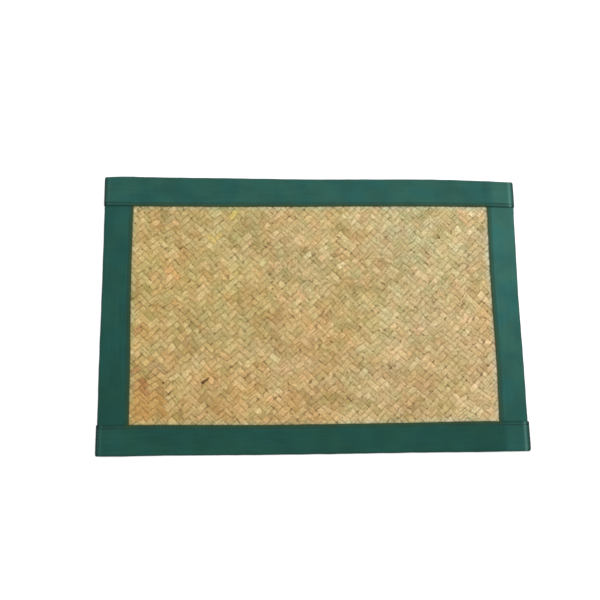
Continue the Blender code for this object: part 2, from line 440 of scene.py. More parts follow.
def make_binding(strip, material):
    """One folded strip of cloth as a closed shell."""
    along, share = strip_stations(strip)
    across, height, from_hem = strip_path(strip, along)
    ring = strip_ring(across, height, share)
    stations, size = ring.shape[:2]
    count = across.shape[1]
    points = np.empty((stations, size, 3))
    points[..., strip.axis] = along[:, None]
    points[..., 1 - strip.axis] = strip.side * ring[..., 0]
    points[..., 2] = ring[..., 1]
    steps = np.hypot(np.diff(across, axis=1), np.diff(height, axis=1))
    length = np.concatenate([np.zeros((stations, 1)), np.cumsum(steps, axis=1)], axis=1)

    def round_ring(values):
        top_cap = np.repeat(values[:, -1:], len(CAP_ANGLES), axis=1)
        under_cap = np.repeat(values[:, :1], len(CAP_ANGLES), axis=1)
        return np.concatenate([values, top_cap, values[:, ::-1], under_cap], axis=1)

    hems = round_ring(from_hem)
    hems[:, count:count + len(CAP_ANGLES)] = 0.0
    hems[:, -len(CAP_ANGLES):] = 0.0
    place = np.stack([along[:, None] + 0 * hems, round_ring(length), hems], -1)
    flipped = (strip.side > 0) == (strip.axis == 0)
    faces = ring_faces(stations, size)
    if flipped:
        faces = [face[::-1] for face in faces]
    faces += end_cap(count, 0, flipped)
    faces += end_cap(count, (stations - 1) * size, not flipped)
    parts = MeshParts()
    shine = strip_shine(strip, points[..., 0], points[..., 1])
    from_fold = np.abs(points[..., 1 - strip.axis] * strip.side - fold_and_hem(strip, along)[0][:, None])
    weave_side = 1 + 0 * shine
    if strip.axis == 0:
        weave_side -= ease((np.abs(points[..., 0]) - CORNER_START) / HEM_CORNER_BLEND)
    parts.add(points, faces, cloth_place=place, cloth_shine=shine, cloth_beside_weave=weave_side,
              cloth_from_fold=from_fold, cloth_contrast=end_contrast(strip, points[..., 0]))
    return parts.make("cloth_" + strip.name, material)


# Sewing thread

THREAD_STANDS = 0.05 * MM
THREAD_CLEARS = 0.02 * MM
LAST_STITCH_INSET = 1.5 * MM
HIDDEN_STITCHES = 8 * MM
FOLD_MARGIN = 2 * MM
THREAD_SIDES = 6
THREAD_STEPS = np.array((-1.0, -0.86, -0.5, 0.0, 0.5, 0.86, 1.0))
THREAD_DIVE = np.array((-0.42, -0.16, 0.0, 0.02, 0.0, -0.16, -0.42)) * MM


def add_stitch(parts, place, direction, up):
    """One stitch: a short thread that dives into the cloth at both ends."""
    direction = np.asarray(direction, float)
    sideways = np.cross((0, 0, 1.0), direction)
    centres = np.asarray(place) + np.outer(THREAD_STEPS * STITCH_LENGTH / 2, direction)
    centres[:, 2] += THREAD_DIVE * up
    angles = 2 * math.pi * np.arange(THREAD_SIDES) / THREAD_SIDES
    circle = np.outer(np.cos(angles) * THREAD_HALF_WIDTH, sideways)
    circle[:, 2] += np.sin(angles) * THREAD_HALF_HEIGHT
    points = centres[:, None, :] + circle[None]
    last = (len(THREAD_STEPS) - 1) * THREAD_SIDES
    faces = [face[::-1] for face in ring_faces(len(THREAD_STEPS), THREAD_SIDES)]
    faces.append(list(range(THREAD_SIDES))[::-1])
    faces.append([last + k for k in range(THREAD_SIDES)])
    parts.add(points, faces)


def make_stitching(strip, material):
    """Stitches along the strip's hem, on top and underneath, and across the ends of an end strip."""
    parts = MeshParts()
    reach = TUCK_START + HIDDEN_STITCHES if strip.axis else STRIP_REACH[strip.name] - LAST_STITCH_INSET
    count = int(reach / STITCH_PITCH)
    along = (np.arange(-count, count) + 0.5) * STITCH_PITCH
    across, height = top_surface(strip, along, STITCH_OFFSET + 0 * along)
    direction = np.eye(3)[strip.axis]
    for place, distance, level in zip(along, across, height):
        point = np.empty(3)
        point[strip.axis], point[1 - strip.axis] = place, strip.side * distance
        point[2] = level + THREAD_STANDS
        add_stitch(parts, point, direction, 1)
        if abs(place) < TUCK_START or strip.axis == 0:
            point[2] = THREAD_HALF_HEIGHT + THREAD_CLEARS
            add_stitch(parts, point, direction, -1)
    if strip.axis == 0:
        for end in (-1, 1):
            add_end_stitches(parts, strip, end)
    return parts.make("stitching_" + strip.name, material)


def add_end_stitches(parts, strip, end):
    """The row of stitches that closes one end of an end strip."""
    along = end * (STRIP_REACH[strip.name] - END_STITCH_INSET)
    fold, hem = fold_and_hem(strip, np.array([along]))
    width = float(fold[0] - hem[0])
    for offset in np.arange(STITCH_OFFSET + STITCH_PITCH / 2, width - FOLD_MARGIN, STITCH_PITCH):
        across, height = top_surface(strip, np.array([along]), np.array([offset]))
        point = np.array([along, strip.side * across[0], height[0] + THREAD_STANDS])
        add_stitch(parts, point, (0, 1.0, 0), 1)


# Weave

# The two families of strands, with the random seeds of the lines between them and of their leaf
Family = namedtuple("Family", "name pitch line_seed leaf_seed")
RISING = Family("rising", RISING_PITCH, 3, 103)
FALLING = Family("falling", FALLING_PITCH, 4, 104)

# Points across a strand, as shares of half its width and of half its thickness, once round
SECTION_ACROSS = np.array((-1.0, -0.86, 0.0, 0.86, 1.0, 0.86, -0.86))
SECTION_HEIGHT = np.array((-0.10, 0.85, 1.0, 0.85, -0.10, -1.0, -1.0))
SECTION_ARCH = np.array((0.0, 0.30, 1.0, 0.30, 0.0, 0.15, 0.15))
# Stations where a strand dives or climbs, as shares of the reach, with its rise and its shade at each
CHANGE_PLACES = np.array((-1.0, -0.38, 0.38, 1.0))
CHANGE_SHARES = np.array((0.95, 0.55, -0.55, -0.95))
CHANGE_SHADES = np.array((0.08, 0.80, 0.80, 0.08))
CHANGE_SPREAD = (0.9, 1.1)
# Stations where a float is creased over the gap between the two strands that it spans
CREASE_PLACES = np.array((-0.95, 0.0, 0.95)) * MM
CREASE_RISES = np.array((0.0, 0.85, 0.0))
CREASE_SHADES = np.array((0.0, 1.35, 0.0))
FLOAT_RISE = 1.15
UNDER_RISE = -0.9
SHEAR_REACH = 9 * MM
SHORTEST_STRAND = 7 * MM
END_CLEARANCE = 0.8 * MM
OUTLINE_STEP = 3 * MM
CUT_EDGE_POINTS = 60
# Unevenness of hand-split leaf: of the lines between strands, their gaps, the split ones, their widths,
# and how much each float rolls and arches
LINE_SPREAD = 0.16
STRAND_GAP = (0.05 * MM, 0.24 * MM)
SPLIT_SHARE = 0.14
SPLIT_PLACE = (0.35, 0.65)
HALF_SPLIT_GAP = 0.03 * MM
NARROWING = 0.022
NARROWING_LENGTH = 19 * MM
FLOAT_ROLL = 0.032 * MM
ARCH_SPREAD = (0.5, 1.5)
ARCH_LOSS = 0.5
# How much of the swing is left inside the bindings, which press the weave, and where that ends
PRESSED_SWING = 0.72
PRESS_X, PRESS_Y = 196 * MM, 121 * MM
PRESS_REACH = 5 * MM
LARGEST_SEED = 1 << 30

# Tan, straw, olive, rust, cream and brown leaf as they look on screen, and how often each is met
Tone = namedtuple("Tone", "color weight")
TONES = (
    Tone((194, 167, 112), 0.30),
    Tone((201, 176, 122), 0.22),
    Tone((190, 172, 114), 0.16),
    Tone((200, 167, 114), 0.12),
    Tone((211, 189, 137), 0.10),
    Tone((185, 156, 106), 0.09),
)

# Floats of a tone of their own: the middle and reach of the patch in mm, and its colour on screen
FloatMark = namedtuple("FloatMark", "x y reach color")
FLOAT_MARKS = [FloatMark(*row) for row in (
    (-180.0, -101.0, 16.0, (190, 144, 76)),
    (-177.6, -80.1, 6.0, (164, 110, 62)),
    (-158.7, -98.8, 6.5, (174, 128, 58)),
    (-165.0, -59.0, 5.5, (172, 142, 96)),
    (-148.0, -44.0, 5.0, (174, 144, 96)),
    (-133.5, -29.0, 5.0, (176, 146, 98)),
    (-118.5, -48.5, 6.5, (184, 158, 108)),
    (-186.4, -16.9, 4.0, (192, 138, 92)),
    (-191.4, -62.3, 4.0, (186, 136, 90)),
    (137.4, -90.1, 4.0, (202, 136, 94)),
    (151.5, -67.7, 4.0, (226, 172, 130)),
    (33.2, 55.0, 4.0, (242, 226, 180)),
    (-86.2, 107.3, 4.5, (214, 190, 100)),
    (-106.6, 82.2, 4.5, (214, 186, 104)),
    (-151.0, 42.9, 6.0, (222, 168, 104)),
    (165.3, 108.7, 5.0, (212, 176, 124)),
)]
MARK_SHARE = 0.62
MARKED_PART = 0.35
ON_TOP = 0.5


def strand_bounds(pitch, seed):
    """Lines between neighbouring strands, as uneven as hand-split leaf."""
    count = int(WEAVE_DIAGONAL / pitch)
    random = np.random.default_rng(seed)
    lines = np.arange(-count, count + 1) * pitch
    return lines + random.uniform(-LINE_SPREAD, LINE_SPREAD, len(lines)) * pitch


BOUNDS = {family.name: strand_bounds(family.pitch, family.line_seed) for family in (RISING, FALLING)}


def passes_over(family, strand, crossed):
    """Whether a strand lies on top where it meets one of the other family."""
    rising, falling = (strand, crossed) if family is RISING else (crossed, strand)
    return ((rising - falling) % 4 < 2) == (family is RISING)


def to_mat(family, along, across):
    """X and Y of places that are given along and across one family's strands."""
    if family is RISING:
        return (along - across) * ROOT_HALF, (along + across) * ROOT_HALF
    return (across - along) * ROOT_HALF, (across + along) * ROOT_HALF


def from_mat(family, points):
    """Places along and across one family's strands, from X and Y."""
    plus = (points[:, 0] + points[:, 1]) * ROOT_HALF
    minus = (points[:, 1] - points[:, 0]) * ROOT_HALF
    return np.c_[plus, minus] if family is RISING else np.c_[minus, plus]


def panel_outline():
    """The panel's outline as X and Y, once round, with its corners cut where the strips cross."""
    def cut_edge(strip, start, end):
        along = np.linspace(start, end, CUT_EDGE_POINTS)
        across = strip.side * (fold_and_hem(strip, along)[0] - PANEL_INSET)
        return np.c_[along, across] if strip.axis == 0 else np.c_[across, along]

    def notch(strip, side_of_y):
        _, hem = fold_and_hem(strip, np.array([side_of_y * CORNER_CUT_START]))
        return strip.side * (float(hem[0]) + CORNER_CUT_OVERLAP)

    cut = CORNER_CUT_START
    far_right, far_left = notch(RIGHT, 1), notch(LEFT, 1)
    near_left, near_right = notch(LEFT, -1), notch(RIGHT, -1)
    return np.vstack([
        [(far_right, cut)], cut_edge(FAR, far_right, far_left), [(far_left, cut)],
        cut_edge(LEFT, cut, -cut),
        [(near_left, -cut)], cut_edge(NEAR, near_left, near_right), [(near_right, -cut)],
        cut_edge(RIGHT, -cut, cut),
    ])


def spans_inside(outline, across):
    """Stretches of the line at this place across that lie inside the outline of (along, across)."""
    after = np.roll(outline, -1, axis=0)
    crosses = (outline[:, 1] > across) != (after[:, 1] > across)
    start, end = outline[crosses], after[crosses]
    share = (across - start[:, 1]) / (end[:, 1] - start[:, 1])
    return np.sort(start[:, 0] + share * (end[:, 0] - start[:, 0])).reshape(-1, 2)


def matching_span(spans, span):
    """The span that shares most with the given one, or None."""
    shared = [min(high, span[1]) - max(low, span[0]) for low, high in spans]
    if not shared or max(shared) < SHORTEST_STRAND / 2:
        return None
    return spans[int(np.argmax(shared))]


# Where the weave turns from loose at the left to regular, with a crease at each crossing that a float spans
REGULAR_FROM = -90 * MM
REGULAR_BY = -30 * MM
LOOSE_CREASE = (0.2, 0.9)
REGULAR_CREASE = (0.8, 1.3)

Course = namedtuple("Course", "places rises shades floats cells")


def strand_course(family, strand, across, random):
    """Stations along one whole strand: places, rises, shades, and the numbers of the float and cell."""
    crossing = BOUNDS[FALLING.name if family is RISING else RISING.name]
    regular = ease((to_mat(family, crossing, across)[0] - REGULAR_FROM) / (REGULAR_BY - REGULAR_FROM))
    rows = []
    number = 0
    for line in range(1, len(crossing) - 1):
        before = passes_over(family, strand, line - 1)
        after = passes_over(family, strand, line)
        sign = 1 if before else -1
        if before and after:
            tight, loose = random.uniform(*REGULAR_CREASE), random.uniform(*LOOSE_CREASE)
            depth = regular[line] * tight + (1 - regular[line]) * loose
            places, rises = crossing[line] + CREASE_PLACES, FLOAT_RISE - depth * CREASE_RISES
            shades, past = CREASE_SHADES * depth, 0 * CREASE_PLACES
        elif before == after:
            places, rises = crossing[line] + np.zeros(1), np.full(1, UNDER_RISE)
            shades, past = np.zeros(1), np.zeros(1)
        else:
            places = crossing[line] + CHANGE_PLACES * CROSSING_REACH * random.uniform(*CHANGE_SPREAD)
            rises, shades = sign * CHANGE_SHARES, CHANGE_SHADES
            past = CHANGE_PLACES >= 0
        cells = line - 1 + (places >= crossing[line])
        rows.append(np.c_[places, rises, shades, number + past, cells])
        number += int(before != after)
    places, rises, shades, floats, cells = np.vstack(rows).T
    return Course(places, rises, shades, floats.astype(int), cells.astype(int))


def pick_tone(random):
    weights = np.array([tone.weight for tone in TONES])
    return np.array(TONES[random.choice(len(TONES), p=weights / weights.sum())].color, float)


# Changes of colour on screen: greener to redder, more golden to paler, darker to lighter
REDDER = np.array((3.4, -2.2, -2.0))
PALER = np.array((0.6, 0.8, 4.2))
LIGHTER = np.array((1.0, 0.97, 0.98))
MEAN_TONE = np.average([tone.color for tone in TONES], axis=0, weights=[tone.weight for tone in TONES])
TONE_SHARE = 0.38
SECOND_TONE = 0.32
SECOND_TONE_SWING = 0.34
SECOND_TONE_MOST = 0.8
SECOND_TONE_LENGTH = 90 * MM

# How such a change drifts over the mat: its level in the middle, its growth from there to the right edge
# of the weave, in proportion and squared, its growth to the far edge, and its random swings
Tint = namedtuple("Tint", "level right right_squared far swings")
# LIGHT_TINT's growth to the right and to the far edge is painted light, brighter towards the lamp at the far
# right
LIGHT_TINT = Tint(0.2, 5.0, 3.0, 2.6, (Swing(30 * MM, 51, 3.1), Swing(90 * MM, 52, 3.9)))
RED_TINT = Tint(0.0, -0.45, 0.0, -0.70, (Swing(26 * MM, 53, 0.60), Swing(130 * MM, 54, 0.46)))
PALE_TINT = Tint(-0.38, 1.9, 0.0, 0.1, (Swing(26 * MM, 55, 0.52), Swing(130 * MM, 56, 0.62)))
HALF_FIELD = (190 * MM, 113 * MM)

# The near left corner, which has browned more than the rest
WARM_PLACE = (-172 * MM, -88 * MM)
WARM_REACH = 27 * MM
WARM_RED = 1.7
WARM_LIGHT = 3.5

# Painted light and shade: rising strands lighter than falling ones, and floats lighter at their far ends;
# and lightness that differs at random between cells and floats, partly the leaf's tone and partly painted
# shading of their tilt
PAINTED_FAMILY_LIGHT = {"rising": 1.4, "falling": -1.4}
CELL_LIGHT = 8.2
FLOAT_LIGHT = 0.7
PAINTED_FAR_END_LIGHT = 1.2


def tint_at(places, tint):
    """One change of colour at places on the mat."""
    right, far = (places / HALF_FIELD).T
    change = tint.level + tint.right * right + tint.right_squared * right * right + tint.far * far
    return change + sum(swung(places, swing) for swing in tint.swings)


def strand_colors(family, strand, course, across, random):
    """Colour on screen at each station of one strand, with its painted light, before the shader's streaks
    and edges.
    """
    crossing = BOUNDS[FALLING.name if family is RISING else RISING.name]
    along = (crossing[:-1] + crossing[1:]) / 2
    first, second = pick_tone(random), pick_tone(random)
    swing = SECOND_TONE_SWING * drift(along[:, None], SECOND_TONE_LENGTH, random.integers(LARGEST_SEED))
    share = np.clip(SECOND_TONE + swing, 0, SECOND_TONE_MOST)[:, None]
    color = MEAN_TONE + TONE_SHARE * (first * (1 - share) + second * share - MEAN_TONE)
    cells = np.stack(to_mat(family, along, across + 0 * along), -1)
    over = np.array([passes_over(family, strand, cell) for cell in range(len(cells) + 1)])
    far_end = np.where(over[:-1] & ~over[1:], 1.0, -1.0)
    own_light = random.normal(size=len(cells)) * CELL_LIGHT
    warm = np.exp(-((cells - WARM_PLACE) ** 2).sum(-1) / WARM_REACH ** 2)
    # Painted light: lighter to the right and far side and at the far ends of floats
    light = tint_at(cells, LIGHT_TINT) + own_light + PAINTED_FAR_END_LIGHT * far_end + WARM_LIGHT * warm
    red = tint_at(cells, RED_TINT) + WARM_RED * warm
    pale = tint_at(cells, PALE_TINT)
    color = color + light[:, None] * LIGHTER + red[:, None] * REDDER + pale[:, None] * PALER
    # Painted light: rising strands lighter than falling ones
    floats = random.normal(size=course.floats.max() + 1) * FLOAT_LIGHT + PAINTED_FAMILY_LIGHT[family.name]
    return color[course.cells] + floats[course.floats, None] * LIGHTER


def mark_floats(color, x, y, course):
    """Gives the floats that lie on top in the marked patches a colour of their own."""
    for mark in FLOAT_MARKS:
        near = (np.hypot(x - mark.x * MM, y - mark.y * MM) < mark.reach * MM) & (course.rises > ON_TOP)
        for number in np.unique(course.floats[near]):
            chosen = course.floats == number
            if near[chosen].mean() > MARKED_PART:
                color[chosen] += MARK_SHARE * (mark.color - color[chosen])
    return color


# How hand work drifts, in X with each seed and in Y with the next one
HAND_DRIFTS = (Swing(85 * MM, 61, 0.75 * MM), Swing(26 * MM, 63, 0.38 * MM))
UNWARP_ROUNDS = 4


def warp(x, y):
    """Places after shifts of the whole weave: rows that bow up towards both ends, and hand work's drift."""
    field = np.stack([x, y], -1)
    shift_x = -2 * WEAVE_BOW * x * y + sum(swung(field, swing) for swing in HAND_DRIFTS)
    shift_y = WEAVE_BOW * x * x + sum(swung(field, swing, 1) for swing in HAND_DRIFTS)
    return x + shift_x, y + shift_y


def unwarp(points):
    """The places that the warp takes to the given ones."""
    places = points.copy()
    for _ in range(UNWARP_ROUNDS):
        shifted = np.stack(warp(places[:, 0], places[:, 1]), -1)
        places += points - shifted
    return places


def subdivide(points, step):
    """The closed outline with points added along its long edges."""
    pieces = []
    for start, end in zip(points, np.roll(points, -1, axis=0)):
        count = max(1, int(np.hypot(*(end - start)) / step))
        pieces.append(start + (end - start) * np.arange(count)[:, None] / count)
    return np.vstack(pieces)


def press(x, y):
    """How much of the strands' swing is left: less inside the bindings, which flatten them."""
    inside = np.minimum(PRESS_X - np.abs(x), PRESS_Y - np.abs(y))
    return PRESSED_SWING + (1 - PRESSED_SWING) * ease(inside / PRESS_REACH)


def inside_hems(x, y):
    """Distance of places on the weave from the nearest hem that frames it."""
    reaches = []
    for strip in STRIPS:
        along, across = (x, y) if strip.axis == 0 else (y, x)
        hem = fold_and_hem(strip, along.ravel())[1].reshape(along.shape)
        reaches.append(hem - strip.side * across)
    return np.minimum.reduce(reaches)


def add_ribbon(parts, family, outline, course, colors, low, high, seed_value, random):
    """One strand between two lines across, clipped to the panel, as closed ribbons."""
    places, rises, shades, floats, _ = course
    middle, half_width = (low + high) / 2, (high - low) / 2
    lanes = middle + SECTION_ACROSS * half_width
    rolls = random.normal(size=floats.max() + 1) * FLOAT_ROLL
    arches = LEAF_ARCH * random.uniform(*ARCH_SPREAD, floats.max() + 1)
    for span in spans_inside(outline, middle):
        if span[1] - span[0] < SHORTEST_STRAND:
            continue
        ends = [matching_span(spans_inside(outline, lane), span) for lane in lanes]
        if any(end is None for end in ends):
            continue
        ends = np.array(ends)
        kept = (places > span[0] + END_CLEARANCE) & (places < span[1] - END_CLEARANCE)
        along = np.r_[span[0], places[kept], span[1]]
        rise = np.interp(along, places, rises)[:, None]
        flat = np.abs(rise).clip(0, 1)
        shade = np.interp(along, places, shades)[:, None]
        number = np.r_[floats[kept][0], floats[kept], floats[kept][-1]]
        color = np.column_stack([np.interp(along, places, colors[:, k]) for k in range(3)])
        to_start = np.clip(1 - (along - span[0]) / SHEAR_REACH, 0, 1)[:, None]
        to_end = np.clip(1 - (span[1] - along) / SHEAR_REACH, 0, 1)[:, None]
        sheared = along[:, None] + to_start * (ends[:, 0] - span[0]) + to_end * (ends[:, 1] - span[1])
        wandering = drift(along[:, None], NARROWING_LENGTH, random.integers(LARGEST_SEED))
        narrow = 1 - NARROWING * np.clip(1 + wandering, 0, 2)
        across = middle + SECTION_ACROSS * half_width * narrow[:, None]
        x, y = warp(*to_mat(family, sheared, across))
        pressed = press(x, y)
        arch = arches[number][:, None] * (1 - ARCH_LOSS * (1 - flat))
        shape = SECTION_HEIGHT * LEAF_THICKNESS / 2 + SECTION_ARCH * arch
        tilt = rolls[number][:, None] * SECTION_ACROSS * flat
        z = WEAVE_MIDDLE + (WEAVE_SWING * rise + shape + tilt) * pressed
        size = len(SECTION_ACROSS)
        faces = ring_faces(len(along), size)
        last = (len(along) - 1) * size
        faces.append(list(range(size)))
        faces.append([last + k for k in range(size)][::-1])
        if family is FALLING:
            faces = [face[::-1] for face in faces]
        point_color = np.repeat(linear_from_display(color)[:, None], size, axis=1)
        opaque = np.ones(point_color.shape[:2] + (1,))
        place = np.stack([sheared, SECTION_ACROSS[None] + 0 * sheared, seed_value + 0 * sheared], -1)
        parts.add(np.stack([x, y, z], -1), faces, leaf_tone=np.concatenate([point_color, opaque], -1),
                  leaf_place=place, leaf_shade=shade + 0 * sheared,
                  leaf_inside=inside_hems(x, y))


def make_weave(family, material):
    """All the strands of one family."""
    random = np.random.default_rng(family.leaf_seed)
    outline = from_mat(family, unwarp(subdivide(panel_outline(), OUTLINE_STEP)))
    bounds = BOUNDS[family.name]
    parts = MeshParts()
    for strand in range(len(bounds) - 1):
        gap = random.uniform(*STRAND_GAP)
        low, high = bounds[strand] + gap / 2, bounds[strand + 1] - gap / 2
        middle = (low + high) / 2
        course = strand_course(family, strand, middle, random)
        colors = strand_colors(family, strand, course, middle, random)
        x, y = warp(*to_mat(family, course.places, middle + 0 * course.places))
        colors = mark_floats(colors, x, y, course)
        split = random.random() < SPLIT_SHARE
        share = random.uniform(*SPLIT_PLACE)
        lines = [low, high] if not split else [low, low + (high - low) * share, high]
        for k in range(len(lines) - 1):
            left = lines[k] + HALF_SPLIT_GAP * (k > 0)
            right = lines[k + 1] - HALF_SPLIT_GAP * (k < len(lines) - 2)
            add_ribbon(parts, family, outline, course, colors, left, right, random.random(), random)
    return parts.make("woven_" + family.name, material)


# Materials


def new_tree(name):
    material = bpy.data.materials.new(name)
    material.use_nodes = True
    return material, material.node_tree


def add_node(tree, kind, inputs=None, **settings):
    """Adds a shader node, with values or links for its inputs."""
    node = tree.nodes.new("ShaderNode" + kind)
    for key, value in settings.items():
        setattr(node, key, value)
    for key, value in (inputs or {}).items():
        if isinstance(value, bpy.types.NodeSocket):
            tree.links.new(value, node.inputs[key])
        else:
            node.inputs[key].default_value = value
    return node


def maths(tree, operation, first, second=0.0):
    return add_node(tree, "Math", {0: first, 1: second}, operation=operation).outputs[0]


def mix_color(tree, share, first, second, blend_type="MIX"):
    inputs = {0: share, 6: first, 7: second}
    return add_node(tree, "Mix", inputs, data_type="RGBA", blend_type=blend_type).outputs[2]


def multiply(tree, first, second):
    return mix_color(tree, 1.0, first, second, "MULTIPLY")


def vector(tree, x, y, z=0.0):
    return add_node(tree, "CombineXYZ", {0: x, 1: y, 2: z}).outputs[0]


def split_vector(tree, value):
    return add_node(tree, "SeparateXYZ", {0: value}).outputs


def remap(tree, value, low, high, to_low, to_high):
    inputs = {0: value, 1: low, 2: high, 3: to_low, 4: to_high}
    return add_node(tree, "MapRange", inputs, interpolation_type="SMOOTHSTEP").outputs[0]


def noise(tree, place, scale, detail, roughness=0.5, output=0):
    inputs = {"Vector": place, "Scale": scale, "Detail": detail, "Roughness": roughness}
    return add_node(tree, "TexNoise", inputs).outputs[output]


def bump(tree, strength, distance, height):
    inputs = {"Strength": strength, "Distance": distance, "Height": height}
    return add_node(tree, "Bump", inputs).outputs[0]


def attribute(tree, name, output="Fac"):
    return add_node(tree, "Attribute", attribute_name=name).outputs[output]


def own_place(tree):
    return add_node(tree, "TexCoord").outputs["Object"]


def set_shader(tree, **values):
    """Sets or links the shader's inputs, named with underscores for spaces."""
    shader = tree.nodes["Principled BSDF"]
    for key, value in values.items():
        socket = shader.inputs[key.replace("_", " ")]
        if isinstance(value, bpy.types.NodeSocket):
            tree.links.new(value, socket)
        else:
            socket.default_value = value


# Stains on the weave: place and half sizes in mm, turn in degrees, colour on screen and strength
Stain = namedtuple("Stain", "x y half_length half_width turn color strength")
STAINS = [Stain(*row) for row in (
    (-117.6, -75.4, 2.7, 1.8, 25, (90, 56, 6), 1.0),
    (-114.6, -73.2, 4.6, 1.3, 35, (96, 62, 10), 0.95),
    (-159.2, -76.0, 1.5, 1.2, 0, (92, 60, 8), 0.95),
    (-152.8, -86.9, 3.8, 1.0, 52, (118, 82, 24), 0.85),
    (47.1, -73.7, 2.2, 0.7, 45, (106, 78, 28), 0.75),
    (48.0, 74.3, 1.5, 0.8, -45, (112, 88, 32), 0.70),
    (105.4, 18.5, 1.6, 0.8, 45, (112, 86, 32), 0.70),
    (-177.9, 108.6, 1.9, 0.9, 45, (98, 80, 28), 0.75),
    (175.6, -82.8, 2.0, 0.7, -45, (106, 78, 30), 0.75),
    (190.8, -101.0, 1.5, 0.8, 45, (108, 80, 32), 0.70),
)]


def add_stains(tree, color):
    """Lays the stains over a colour, each with an uneven edge."""
    position = own_place(tree)
    edge = remap(tree, noise(tree, position, 900.0, 2.0), 0.25, 0.75, -0.35, 0.35)
    for stain in STAINS:
        inputs = {
            "Vector": position,
            "Location": (stain.x * MM, stain.y * MM, 0.0),
            "Rotation": (0.0, 0.0, math.radians(stain.turn)),
            "Scale": (stain.half_length * MM, stain.half_width * MM, 1.0),
        }
        local = add_node(tree, "Mapping", inputs, vector_type="TEXTURE").outputs[0]
        distance = add_node(tree, "VectorMath", {0: local}, operation="LENGTH").outputs["Value"]
        shade = remap(tree, maths(tree, "ADD", distance, edge), 0.65, 1.15, stain.strength, 0.0)
        color = mix_color(tree, shade, color, (*linear_from_display(stain.color), 1.0))
    return color


# Linear colours of the leaf's shader; the streaks and the paler leaf beside a hem multiply its tone
STREAK_DARK = (0.87, 0.85, 0.80, 1.0)
STREAK_LIGHT = (1.11, 1.12, 1.14, 1.0)
BLOTCH = (0.40, 0.26, 0.11, 1.0)
BROWNED_AND_SHADED_EDGE = (0.25, 0.16, 0.06, 1.0)
CROSSING_SHADE = (0.18, 0.11, 0.028, 1.0)
SPECKLED_SHADE = (0.13, 0.064, 0.008, 1.0)
BESIDE_HEM = (0.90, 1.08, 1.32, 1.0)
HEM_SHADOW = (0.05, 0.045, 0.02, 1.0)
# How strong the strongest blotches, edges, crossings and specks are
BLOTCH_SHARE = 0.34
EDGE_SHARE = 0.115
CROSSING_SHARE = 0.17
SPECK_SHARE = 0.85
SEED_SPREAD = 53.0


def leaf_material():
    """Dry split leaf: its own tone, long streaks, fine ribs, edges browned and darkened with painted shade,
    and painted shade at the crossings.
    """
    material, tree = new_tree("pandanus_leaf_strands")
    tone = attribute(tree, "leaf_tone", "Color")
    shade, inside = attribute(tree, "leaf_shade"), attribute(tree, "leaf_inside")
    along, across, seed = split_vector(tree, attribute(tree, "leaf_place", "Vector"))
    position, seed = own_place(tree), maths(tree, "MULTIPLY", seed, SEED_SPREAD)

    def lengthwise_noise(along_scale, across_scale, detail):
        x, y = maths(tree, "MULTIPLY", along, along_scale), maths(tree, "MULTIPLY", across, across_scale)
        return noise(tree, vector(tree, x, y, seed), 1.0, detail, 0.6)

    streaks = lengthwise_noise(130.0, 3.6, 4.0)
    ribs = lengthwise_noise(30.0, 9.0, 2.0)
    blotches = lengthwise_noise(160.0, 1.2, 3.0)
    streak = mix_color(tree, remap(tree, streaks, 0.30, 0.70, 0.0, 1.0), STREAK_DARK, STREAK_LIGHT)
    color = multiply(tree, tone, streak)
    color = mix_color(tree, remap(tree, blotches, 0.54, 0.80, 0.0, BLOTCH_SHARE), color, BLOTCH)
    comes_and_goes = remap(tree, noise(tree, position, 110.0, 1.0), 0.32, 0.68, 0.15, 1.0)
    # Strand edges: partly browned leaf, partly painted shade of the seams between strands
    edge = remap(tree, maths(tree, "ABSOLUTE", across), 0.76, 1.0, 0.0, EDGE_SHARE)
    color = mix_color(tree, maths(tree, "MULTIPLY", edge, comes_and_goes), color, BROWNED_AND_SHADED_EDGE)
    depth = maths(tree, "MULTIPLY", shade, maths(tree, "MULTIPLY", comes_and_goes, CROSSING_SHARE))
    color = mix_color(tree, depth, color, CROSSING_SHADE)
    # Painted shade, speckled, in the shaded crossings and at strand edges: dark pinholes between strands
    specks = remap(tree, noise(tree, position, 190.0, 1.0), 0.58, 0.70, 0.0, SPECK_SHARE)
    speckled = maths(tree, "MULTIPLY", maths(tree, "ADD", shade, edge), specks)
    color = mix_color(tree, speckled, color, SPECKLED_SHADE)
    glint = remap(tree, noise(tree, position, 400.0, 2.0), 0.30, 0.70, 0.82, 1.18)
    color = multiply(tree, color, vector(tree, glint, glint, maths(tree, "POWER", glint, 1.3)))
    beside_hem = remap(tree, inside, 1.0 * MM, 6.0 * MM, 1.0, 0.0)
    color = mix_color(tree, beside_hem, color, multiply(tree, color, BESIDE_HEM))
    color = mix_color(tree, remap(tree, inside, -0.2 * MM, 1.3 * MM, 0.5, 0.0), color, HEM_SHADOW)
    relief = maths(tree, "ADD", maths(tree, "MULTIPLY", ribs, 0.7), maths(tree, "MULTIPLY", streaks, 0.5))
    roughness = remap(tree, streaks, 0.3, 0.7, 0.62, 0.48)
    set_shader(tree, Base_Color=add_stains(tree, color), Roughness=roughness, Specular_IOR_Level=0.24,
               Normal=bump(tree, 0.55, 0.16 * MM, relief))
    return material


# Linear colours of the dyed cloth: its painted shade and painted sheen, its two casts, which multiply it,
# painted shade at its hem edge at the corners and beside the weave, painted shade in the stitched valley
# and at the outer fold, and a painted highlight on the ridges at its ends
CLOTH_SHADE = (0.0060, 0.0640, 0.0470, 1.0)
CLOTH_SHINE = (0.0280, 0.1300, 0.1080, 1.0)
REDDER_CAST = (1.18, 1.01, 0.95, 1.0)
BLUER_CAST = (0.82, 0.99, 1.05, 1.0)
SHADED_HEM_EDGE = (0.005, 0.040, 0.030, 1.0)
SHADED_OLIVE_HEM_EDGE = (0.026, 0.056, 0.018, 1.0)
VALLEY_AND_FOLD_SHADE = (0.003, 0.022, 0.017, 1.0)
RIDGE_HIGHLIGHT = (0.13, 0.29, 0.255, 1.0)
CLOTH_THREADS = (0.42 * MM, 0.46 * MM)


